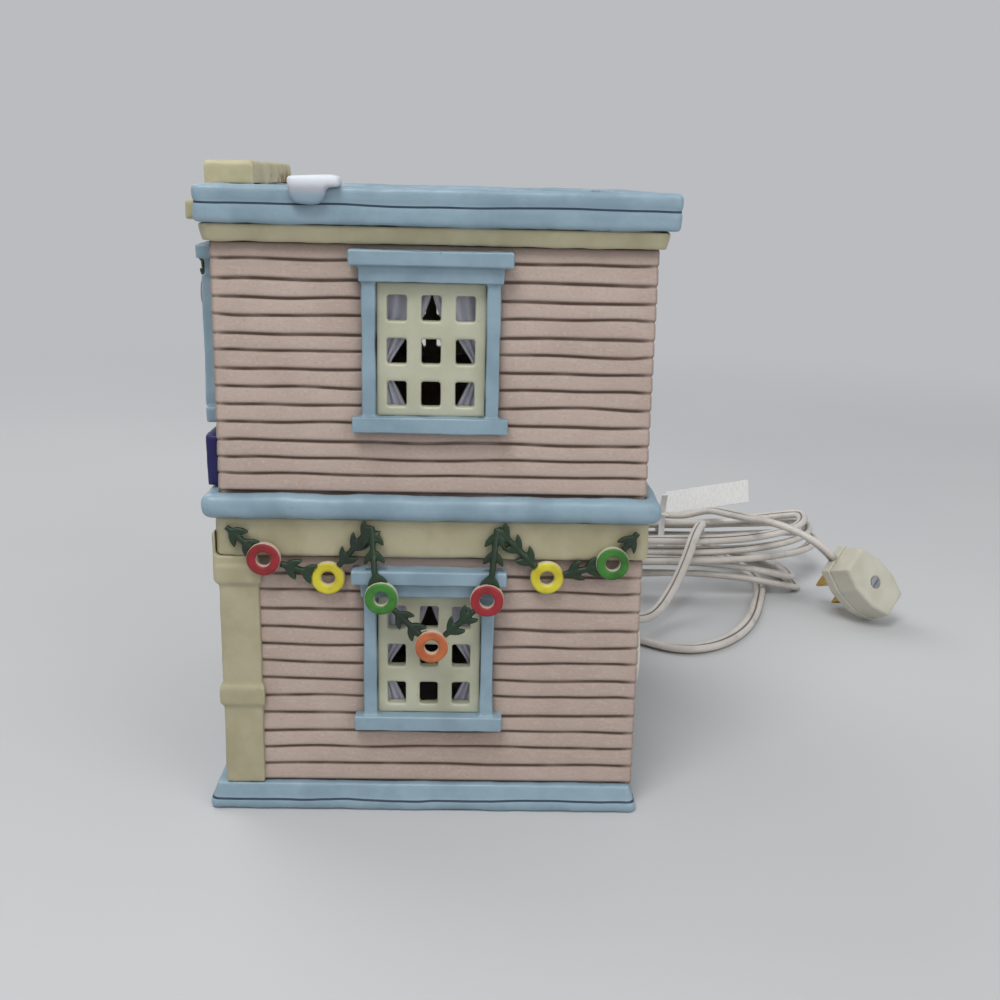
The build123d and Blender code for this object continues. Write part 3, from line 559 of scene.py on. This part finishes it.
def stained_cream():
    """Cream paint with a brown stain at the foot of the pediment's back, and specks along it."""
    paint = Paint("stained_cream")
    cloud = paint.noise(CLOUD_SCALE, 4)
    fine = paint.noise(FINE_SCALE, 2)
    blot = paint.noise(BLOT_SCALE, 5)
    colour = paint.mix(paint.span(cloud, *COAT_SPREAD), linear(188, 180, 146), linear(172, 163, 128))
    # Painted highlight on the edges
    colour = paint.mix(paint.span(paint.pointiness(), *EDGE_HIGHLIGHT_SPREAD, 0.0, 0.8), colour, linear(208, 204, 180))
    foot = paint.times(
        paint.span(paint.axis("Z"), *(z * MM for z in STAIN_Z)),
        paint.span(paint.axis("Y"), *(y * MM for y in STAIN_Y)),
    )
    place = paint.times(foot, paint.span(paint.axis("X"), *(x * MM for x in STAIN_X)))
    stain = paint.times(place, paint.span(blot, 0.42, 0.56))
    colour = paint.mix(stain, colour, linear(132, 98, 48))
    specks = paint.times(foot, paint.span(blot, 0.62, 0.66))
    colour = paint.mix(specks, colour, linear(84, 62, 36))
    paint.colour(colour)
    paint.rough(cloud, 0.4, 0.6)
    paint.bump(fine, 0.0001)
    return paint.material


def glossy(name, base, shade, rim):
    """A painted candy with a pale rim, where its edges turn away from its face."""
    paint = Paint(name)
    cloud = paint.noise(160, 3)
    colour = paint.mix(paint.span(cloud, *CLOUD_SPREAD), base, shade)
    colour = paint.mix(paint.span(paint.facing(), 0.58, 0.36, 0.0, 0.7), colour, rim)
    paint.colour(colour)
    paint.rough(cloud, 0.42, 0.58)
    paint.bump(cloud, 0.0002)
    return paint.material


def plastic(name, base, shade, rough=(0.3, 0.48)):
    paint = Paint(name)
    cloud = paint.noise(CORD_CLOUD_SCALE, 3)
    fine = paint.noise(1100, 2)
    colour = paint.mix(paint.span(cloud, *CLOUD_SPREAD), base, shade)
    paint.colour(colour)
    paint.rough(cloud, *rough)
    paint.bump(fine, 0.00006, 0.35)
    return paint.material


def cord_paint():
    """Ivory twin cord, with patches of dirt, and painted shade in the seam between its cores."""
    paint = Paint("cord_plastic")
    cloud = paint.noise(CORD_CLOUD_SCALE, 3)
    dirt = paint.noise(240, 4)
    colour = paint.mix(paint.span(cloud, *CLOUD_SPREAD), linear(207, 201, 194), linear(193, 186, 178))
    colour = paint.mix(paint.span(dirt, 0.56, 0.72, 0.0, 0.4), colour, linear(168, 160, 151))
    # Painted shade in the seam between the cores
    colour = paint.mix(paint.span(paint.attribute("seam"), 0.05, 0.75), colour, linear(102, 94, 88))
    paint.colour(colour)
    paint.rough(cloud, 0.32, 0.5)
    paint.bump(dirt, 0.00005, 0.35)
    return paint.material


def metal(name, base, shade, rough=(0.22, 0.4)):
    paint = Paint(name)
    cloud = paint.noise(140, 4)
    paint.colour(paint.mix(paint.span(cloud, *CLOUD_SPREAD), base, shade))
    paint.rough(cloud, *rough)
    paint.set(Metallic=1.0)
    return paint.material


def paper():
    paint = Paint("tag_paper")
    fibre = paint.noise(420, 5, (1, 3, 1))
    paint.colour(paint.mix(paint.span(fibre, *CLOUD_SPREAD), linear(222, 222, 220), linear(212, 211, 208)))
    paint.rough(fibre, 0.6, 0.8)
    paint.bump(fibre, 0.00003, 0.2)
    return paint.material


def frosted_glass():
    paint = Paint("bulb_glass")
    cloud = paint.noise(90, 3)
    paint.colour(paint.mix(paint.span(cloud, *CLOUD_SPREAD), linear(240, 240, 236), linear(226, 226, 222)))
    paint.rough(cloud, 0.08, 0.22)
    paint.set(Transmission_Weight=0.85, IOR=1.45)
    return paint.material


def dress(material, *names):
    """Gives a material to CAD nodes."""
    for name in names:
        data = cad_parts[name].data
        data.materials.clear()
        data.materials.append(material)


# Softened clay
def lumpy(name, scale):
    texture = bpy.data.textures.new(name, "CLOUDS")
    texture.noise_scale = scale
    texture.noise_depth = 2
    return texture


CLAY_LUMPS = lumpy("clay_lumps", 0.011)
SNOW_LUMPS = lumpy("snow_lumps", 0.016)


def soften(names, grid, rounds, swell=0.0, lumps=CLAY_LUMPS):
    """Rounds CAD nodes' edges as slip-cast clay has them, with slight unevenness.

    Grid is the mesh size, rounds how often it is smoothed and swell the height of its lumps.
    """
    for name in names:
        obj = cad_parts[name]
        remesh = obj.modifiers.new("clay_mesh", "REMESH")
        remesh.mode = "VOXEL"
        remesh.voxel_size = grid * MM
        remesh.use_smooth_shade = True
        smooth = obj.modifiers.new("clay_round", "SMOOTH")
        smooth.factor = 0.5
        smooth.iterations = rounds
        if swell:
            displace = obj.modifiers.new("clay_lumps", "DISPLACE")
            displace.texture = lumps
            displace.texture_coords = "LOCAL"
            displace.mid_level = 0.5
            displace.strength = swell * MM


# Clapboard walls
WALL_FRAMES = {
    "right_wall": (Vector((HALF_WIDTH, 0, 0)), Vector((0, 1, 0)), Vector((1, 0, 0)), HALF_DEPTH),
    "left_wall": (Vector((-HALF_WIDTH, 0, 0)), Vector((0, -1, 0)), Vector((-1, 0, 0)), HALF_DEPTH),
    "front_wall": (Vector((0, -HALF_DEPTH, 0)), Vector((1, 0, 0)), Vector((0, -1, 0)), HALF_WIDTH),
    "back_wall": (Vector((0, HALF_DEPTH, 0)), Vector((-1, 0, 0)), Vector((0, 1, 0)), HALF_WIDTH),
}

# One board, from its lower edge up: (share of its height, share of the relief, darkness of the groove's
# brown wash and painted shade)
BOARD_SHAPE = [
    (0.0, -0.8, 1.0),
    (0.05, -0.76, 1.0),
    (0.1, -0.5, 0.95),
    (0.14, -0.2, 0.6),
    (0.18, -0.05, 0.2),
    (0.24, 0.0, 0.05),
    (0.32, 0.0, 0.0),
    (0.55, -0.1, 0.0),
    (0.8, -0.22, 0.0),
    (0.9, -0.3, 0.05),
    (0.95, -0.4, 0.3),
    (0.98, -0.62, 0.8),
]


def window_hole(u, z):
    half = SASH_WIDTH / 2
    return (u - half, u + half, z + SILL_H, z + SILL_H + JAMB_H)


WINDOWS = {
    "right_wall": [(WINDOW_SHIFT, UPPER_WINDOW_Z), (WINDOW_SHIFT, LOWER_WINDOW_Z)],
    "left_wall": [(-WINDOW_SHIFT, UPPER_WINDOW_Z), (-WINDOW_SHIFT, LOWER_WINDOW_Z)],
    "front_wall": [
        (FRONT_WINDOW_U, UPPER_WINDOW_Z),
        (-FRONT_WINDOW_U, UPPER_WINDOW_Z),
        (FRONT_LOW_WINDOW_U, LOWER_WINDOW_Z),
    ],
    "back_wall": [],
}
DOOR_HOLE = (DOOR_U - DOOR_WIDTH / 2, DOOR_U + DOOR_WIDTH / 2, PLINTH_TOP, PLINTH_TOP + DOOR_H)
WALL_HOLES = {name: [window_hole(*place) for place in places] for name, places in WINDOWS.items()}
WALL_HOLES["front_wall"].append(DOOR_HOLE)


def wall_rows(seed):
    """Each row of a wall's mesh as (function of u giving height, out, groove shade)."""
    rows = []
    for low, high, boards in ((*LOWER_WALL, LOWER_BOARDS), (*UPPER_WALL, UPPER_BOARDS)):
        step = (high - low) / boards

        def edge(i, u, half, low=low, step=step, boards=boards):
            if i in (0, boards):
                return low + i * step
            calm = min(1.0, max(0.0, (half - abs(u)) / BOARD_CALM))
            uneven = noise.noise(Vector((i * UNEVEN_STEP, low, UNEVEN_SEED)))
            wander = noise.noise(Vector((u / WANDER_LENGTH, i * WANDER_STEP + low, seed)))
            return low + i * step + 2 * (BOARD_UNEVEN * uneven + BOARD_WANDER * calm * wander)

        for i in range(boards):
            for share, relief, groove in BOARD_SHAPE:
                rows.append((edge, i, share, relief * BOARD_RELIEF, groove))
        rows.append((edge, boards, 0.0, -BOARD_RELIEF, 1.0))
    rows.append((None, 0, WALL_TOP, 0.0, 0.0))
    return rows


def row_height(row, u, half):
    edge, i, share, _, _ = row
    if edge is None:
        return share
    base = edge(i, u, half)
    return base if share == 0.0 else base + share * (edge(i + 1, u, half) - base)


def in_hole(name, u, h):
    margin = COLUMN_STEP / 2
    for low_u, high_u, low_h, high_h in WALL_HOLES[name]:
        if low_u - margin < u < high_u + margin and low_h - margin < h < high_h + margin:
            return True
    return name == "back_wall" and math.hypot(u, h - LAMP_Z) < LAMP_HOLE / 2


def painted_trim_shade(name, u, h):
    """Painted shade beside the window surrounds and under the mouldings."""
    near = math.inf
    for low_u, high_u, low_h, _ in WALL_HOLES[name]:
        middle, half = (low_u + high_u) / 2, JAMB_SPAN / 2
        low, high = low_h - SILL_H, low_h - SILL_H + HOOD_TOP
        away_u = max(abs(u - middle) - half, 0.0)
        away_h = max(low - h, h - high, 0.0)
        near = min(near, math.hypot(away_u, away_h))
    under = min(top - h if top > h else math.inf for top in (LOWER_WALL[1], UPPER_WALL[1]))
    return max(TRIM_SHADE_DEPTH * math.exp(-near / TRIM_SHADE_REACH), UNDER_SHADE_DEPTH * math.exp(-under / UNDER_SHADE_REACH))


def groove_shade(u, h, fade, seed):
    """How dark the groove's brown wash and painted shade are at that place: uneven, and fainter at the
    wall's corners.
    """
    uneven = noise.noise(Vector((u / SHADE_LENGTH, h / SHADE_HEIGHT, seed + SHADE_SEED)))
    shade = min(1.0, max(SHADE_LEAST, SHADE_MEAN + SHADE_SWING * uneven))
    return shade * (SHADE_AT_CORNER + (1 - SHADE_AT_CORNER) * fade)


def inside_u(u, half):
    """The place on the inside of a wall that is behind u: walls meet there in a mitre."""
    spare = max(0.0, abs(u) - half + 2 * WALL_THICK)
    return math.copysign(abs(u) - spare / 2, u)


def round_lamp_hole(verts):
    """Moves the stepped edge of the lamp hole in the back wall onto its circle."""
    middle = Vector((0, LAMP_Z * MM))
    radius = LAMP_HOLE / 2 * MM
    for vert in verts:
        away = vert.co.xz - middle
        if abs(away.length - radius) < LAMP_HOLE_EDGE * MM:
            vert.co.xz = middle + away.normalized() * radius


def make_wall(name, seed):
    origin, along, out_dir, half = WALL_FRAMES[name]
    columns = int(2 * half / COLUMN_STEP)
    mesh = bmesh.new()
    shade = mesh.verts.layers.float.new("groove")
    behind = {}
    grid = []
    for row in wall_rows(seed):
        _, _, _, out, groove = row
        line = []
        for c in range(columns + 1):
            part = 2 * c / columns - 1
            u = part * half
            fade = min(1.0, (half - abs(u)) / GROOVE_FADE)
            h = row_height(row, u, half)
            depth = out * (CORNER_RELIEF + (1 - CORNER_RELIEF) * fade)
            spot = origin + along * (part * (half + depth)) + out_dir * depth
            vert = mesh.verts.new((spot + Vector((0, 0, h))) * MM)
            spot = origin + along * inside_u(u, half) - out_dir * WALL_THICK
            behind[vert] = mesh.verts.new((spot + Vector((0, 0, h))) * MM)
            # Darkness for the wall paint: brown wash with painted shade in the grooves, and painted shade by
            # the trim
            vert[shade] = max(groove * groove_shade(u, h, fade, seed), painted_trim_shade(name, u, h))
            line.append((vert, u, h))
        grid.append(line)
    for low, high in zip(grid, grid[1:]):
        for c in range(columns):
            corners = (low[c], low[c + 1], high[c + 1], high[c])
            middle_u = sum(k[1] for k in corners) / 4
            middle_h = sum(k[2] for k in corners) / 4
            if not in_hole(name, middle_u, middle_h):
                mesh.faces.new([k[0] for k in corners])
                mesh.faces.new([behind[k[0]] for k in reversed(corners)])
    rim = [e for e in mesh.edges if len(e.link_faces) == 1 and e.verts[0] in behind]
    for edge in rim:
        a, b = edge.verts
        mesh.faces.new((a, b, behind[b], behind[a]))
    if name == "back_wall":
        edge_verts = {v for e in rim for v in e.verts}
        round_lamp_hole(edge_verts | {behind[v] for v in edge_verts})
    loose = [v for v in mesh.verts if not v.link_faces]
    bmesh.ops.delete(mesh, geom=loose, context="VERTS")
    bmesh.ops.recalc_face_normals(mesh, faces=mesh.faces)
    data = bpy.data.meshes.new(f"clapboard_{name}")
    mesh.to_mesh(data)
    data.shade_smooth()
    wall = add_object(f"clapboard_{name}", data)
    wall.data.materials.append(WALL_PAINT)
    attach(wall, "house")
    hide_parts(name)


WALL_PAINT = wall_paint()
for number, wall_name in enumerate(WALL_FRAMES):
    make_wall(wall_name, WALL_SEED * (number + 1))


# Curtains
def drape_edge(h):
    """How far from the window's middle a curtain's free edge is at that height over the sill."""
    for (low, near), (high, far) in zip(DRAPE_EDGE, DRAPE_EDGE[1:]):
        if h <= high:
            return near + (far - near) * (h - low) / (high - low)
    return DRAPE_EDGE[-1][1]


def add_drape(mesh, wall_name, u, z, side):
    """One pleated curtain, tied back to the window's side, which is -1 or 1."""
    origin, along, out_dir, _ = WALL_FRAMES[wall_name]
    fixed = SASH_WIDTH / 2 - DRAPE_GAP
    foot, head = DRAPE_EDGE[0][0], DRAPE_EDGE[-1][0]
    grid = []
    for row in range(DRAPE_ROWS + 1):
        h = foot + (head - foot) * row / DRAPE_ROWS
        free = drape_edge(h)
        line = []
        for column in range(DRAPE_COLUMNS + 1):
            share = column / DRAPE_COLUMNS
            out = DRAPE_OUT + DRAPE_FOLD * math.sin(share * DRAPE_FOLDS * math.tau)
            spot = origin + along * (u + side * (fixed + (free - fixed) * share)) + out_dir * out
            line.append(mesh.verts.new((spot + Vector((0, 0, z + SILL_H + h))) * MM))
        grid.append(line)
    for low, high in zip(grid, grid[1:]):
        for a, b, c, d in zip(low, low[1:], high[1:], high):
            mesh.faces.new((a, b, c, d))


def make_drapes(wall_name, node, material):
    mesh = bmesh.new()
    for u, z in WINDOWS[wall_name]:
        for side in (-1, 1):
            add_drape(mesh, wall_name, u, z, side)
    bmesh.ops.recalc_face_normals(mesh, faces=mesh.faces)
    data = bpy.data.meshes.new(f"pleated_{node}")
    mesh.to_mesh(data)
    data.shade_smooth()
    drapes = add_object(f"pleated_{node}", data)
    thick = drapes.modifiers.new("drape_thick", "SOLIDIFY")
    thick.thickness = DRAPE_THICK * MM
    thick.offset = 0.0
    drapes.data.materials.append(material)
    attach(drapes, "house")
    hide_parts(node)


# Painted trim
SURROUNDS = sorted(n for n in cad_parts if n.startswith("window_surround_"))
SASHES = sorted(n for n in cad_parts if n.startswith("window_sash_"))
GARLANDS = sorted(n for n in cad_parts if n.startswith("garland_"))
POSTS = ["corner_post_right", "corner_post_left"]
CANDIES = [f"ring_candies_{c}" for c in ("red", "yellow", "green", "orange")]

# Each paint as (base, darker tone, painted highlight on edges, painted shade in hollows and colour of
# specks)
BLUE = (linear(136, 159, 172), linear(122, 145, 158), linear(172, 196, 210), linear(72, 90, 104))
NAVY_LINE = linear(38, 54, 72)
CREAM = (linear(170, 163, 134), linear(158, 150, 120), linear(196, 192, 168), linear(104, 96, 72))
SASH = (linear(182, 182, 160), linear(170, 170, 146), linear(204, 204, 188), linear(112, 110, 88))
blue = painted("blue_paint", *BLUE)
cream = painted("cream_paint", *CREAM)
dress(blue, "belt_ledge", "door_surround", *SURROUNDS)
dress(painted("cornice_blue", *BLUE, lines=[CORNICE_LINE_Z], line=NAVY_LINE), "cornice")
dress(painted("plinth_blue", *BLUE, lines=[PLINTH_LINE_Z], line=NAVY_LINE), "plinth")
dress(cream, "cornice_moulding", "belt_fascia", *POSTS)
dress(painted("sash_cream", *SASH), *SASHES)
dress(
    painted("door_paint", linear(126, 54, 46), linear(114, 47, 40), linear(160, 92, 80), linear(56, 24, 20)),
    "front_door",
)
dress(
    painted("navy_paint", linear(19, 17, 86), linear(17, 15, 79), linear(48, 52, 122), linear(6, 6, 28)),
    "sign_board",
)
dress(snow_paint(), "roof_snow")
dress(stained_cream(), "sign_pediment")
dress(WALL_PAINT, "roof_deck")
dress(
    painted("leaf_green", linear(26, 50, 27), linear(18, 36, 20), linear(52, 76, 44), linear(10, 22, 14)),
    *GARLANDS,
)
# As (base, darker tone, painted highlight on edges, painted shade in hollows and colour of specks)
CURTAIN = (linear(186, 186, 200), linear(162, 162, 180), linear(210, 210, 220), linear(120, 120, 140))
curtain_white = painted("curtain_white", *CURTAIN)
for wall_side in ("right", "left", "front"):
    make_drapes(f"{wall_side}_wall", f"curtains_{wall_side}", curtain_white)
RIM = linear(214, 204, 184)
dress(glossy("red_candy", linear(148, 30, 36), linear(118, 22, 28), RIM), "ring_candies_red")
dress(glossy("yellow_candy", linear(208, 198, 52), linear(186, 170, 34), RIM), "ring_candies_yellow")
dress(glossy("green_candy", linear(56, 122, 38), linear(38, 92, 26), RIM), "ring_candies_green")
dress(glossy("orange_candy", linear(188, 106, 58), linear(160, 82, 44), RIM), "ring_candies_orange")

soften(["plinth", "belt_ledge", "cornice"], grid=0.7, rounds=4, swell=0.9)
soften(["belt_fascia", "cornice_moulding"], grid=0.8, rounds=5, swell=0.7)
soften(["sign_pediment", "sign_board"], grid=0.7, rounds=6, swell=1.2)
soften(POSTS, grid=0.7, rounds=4, swell=0.6)
soften(SURROUNDS, grid=0.5, rounds=2, swell=0.6)
soften(SASHES, grid=0.42, rounds=1, swell=0.4)
soften(["door_surround", "front_door"], grid=0.7, rounds=3, swell=0.5)
soften(["roof_snow"], grid=0.6, rounds=16, swell=1.2, lumps=SNOW_LUMPS)
soften(CANDIES, grid=0.3, rounds=1, swell=0.4)
soften(GARLANDS, grid=0.34, rounds=2, swell=0.5)

# Light kit
dress(plastic("holder_plastic", linear(228, 226, 216), linear(212, 210, 198)), "holder_body", "holder_cap")
cord_plastic = cord_paint()
dress(cord_plastic, "strain_relief")
light_cord.data.materials.append(cord_plastic)
dress(plastic("plug_plastic", linear(198, 195, 180), linear(186, 182, 164)), "plug_base", "plug_cover")
dress(plastic("tie_plastic", linear(232, 230, 226), linear(214, 212, 208)), "cord_tie")
dress(paper(), "cord_tag")
brass = metal("brass", linear(206, 174, 98), linear(178, 144, 72))
dress(brass, "screw_shell", "bulb_cap", "centre_contact", "plug_pins")
dress(metal("steel", linear(196, 198, 200), linear(160, 162, 166)), "spring_clips", "plug_screw")
dress(frosted_glass(), "bulb_glass")
soften(["plug_base", "plug_cover"], grid=0.5, rounds=4)


# Floor, background and light
FLOOR_RADIUS = 9.0
FLOOR_SEGMENTS = 96
FLOOR_ROUGHNESS = 0.9
FLOOR_FADE = (0.42, 1.15)
BACKGROUND = linear(186, 188, 191)
LIGHT_TARGET = (0.0, 0.0, 0.1)

# Each light as (name, place, size, power), in metres and watts
LIGHTS = [
    ("key", (0.62, -0.2, 1.15), 0.55, 7.5),
    ("fill", (0.8, 0.7, 0.6), 0.9, 3.0),
    ("back_fill", (-0.7, -0.7, 1.1), 1.0, 5.0),
]


def make_floor():
    """A wide paper floor that fades far away into the colour of the background."""
    mesh = bmesh.new()
    bmesh.ops.create_circle(mesh, cap_ends=True, segments=FLOOR_SEGMENTS, radius=FLOOR_RADIUS)
    data = bpy.data.meshes.new("studio_floor")
    mesh.to_mesh(data)
    floor = add_object("studio_floor", data)
    paint = Paint("studio_paper")
    cloud = paint.noise(3, 2)
    paint.colour(paint.mix(paint.span(cloud, 0.3, 0.7), linear(194, 195, 195), linear(190, 191, 192)))
    paint.set(Roughness=FLOOR_ROUGHNESS)
    away = paint.add("ShaderNodeVectorMath")
    away.operation = "LENGTH"
    paint.link(paint.place, away.inputs[0])
    far = paint.add("ShaderNodeEmission")
    far.inputs["Color"].default_value = BACKGROUND
    blend = paint.add("ShaderNodeMixShader")
    paint.link(paint.span(away.outputs["Value"], *FLOOR_FADE), blend.inputs["Fac"])
    paint.link(paint.shader.outputs["BSDF"], blend.inputs[1])
    paint.link(far.outputs["Emission"], blend.inputs[2])
    paint.link(blend.outputs["Shader"], paint.tree.nodes["Material Output"].inputs["Surface"])
    data.materials.append(paint.material)


def area_light(name, place, size, power):
    data = bpy.data.lights.new(name, "AREA")
    data.shape = "DISK"
    data.size = size
    data.energy = power
    light = add_object(name, data)
    light.location = place
    light.rotation_euler = (Vector(LIGHT_TARGET) - Vector(place)).to_track_quat("-Z", "Y").to_euler()


def make_light():
    world = bpy.data.worlds.new("studio")
    world.use_nodes = True
    sky = world.node_tree.nodes["Background"]
    sky.inputs["Color"].default_value = BACKGROUND
    sky.inputs["Strength"].default_value = 1.0
    bpy.context.scene.world = world
    for light in LIGHTS:
        area_light(*light)


make_floor()
make_light()
bpy.context.scene.view_settings.view_transform = "Standard"
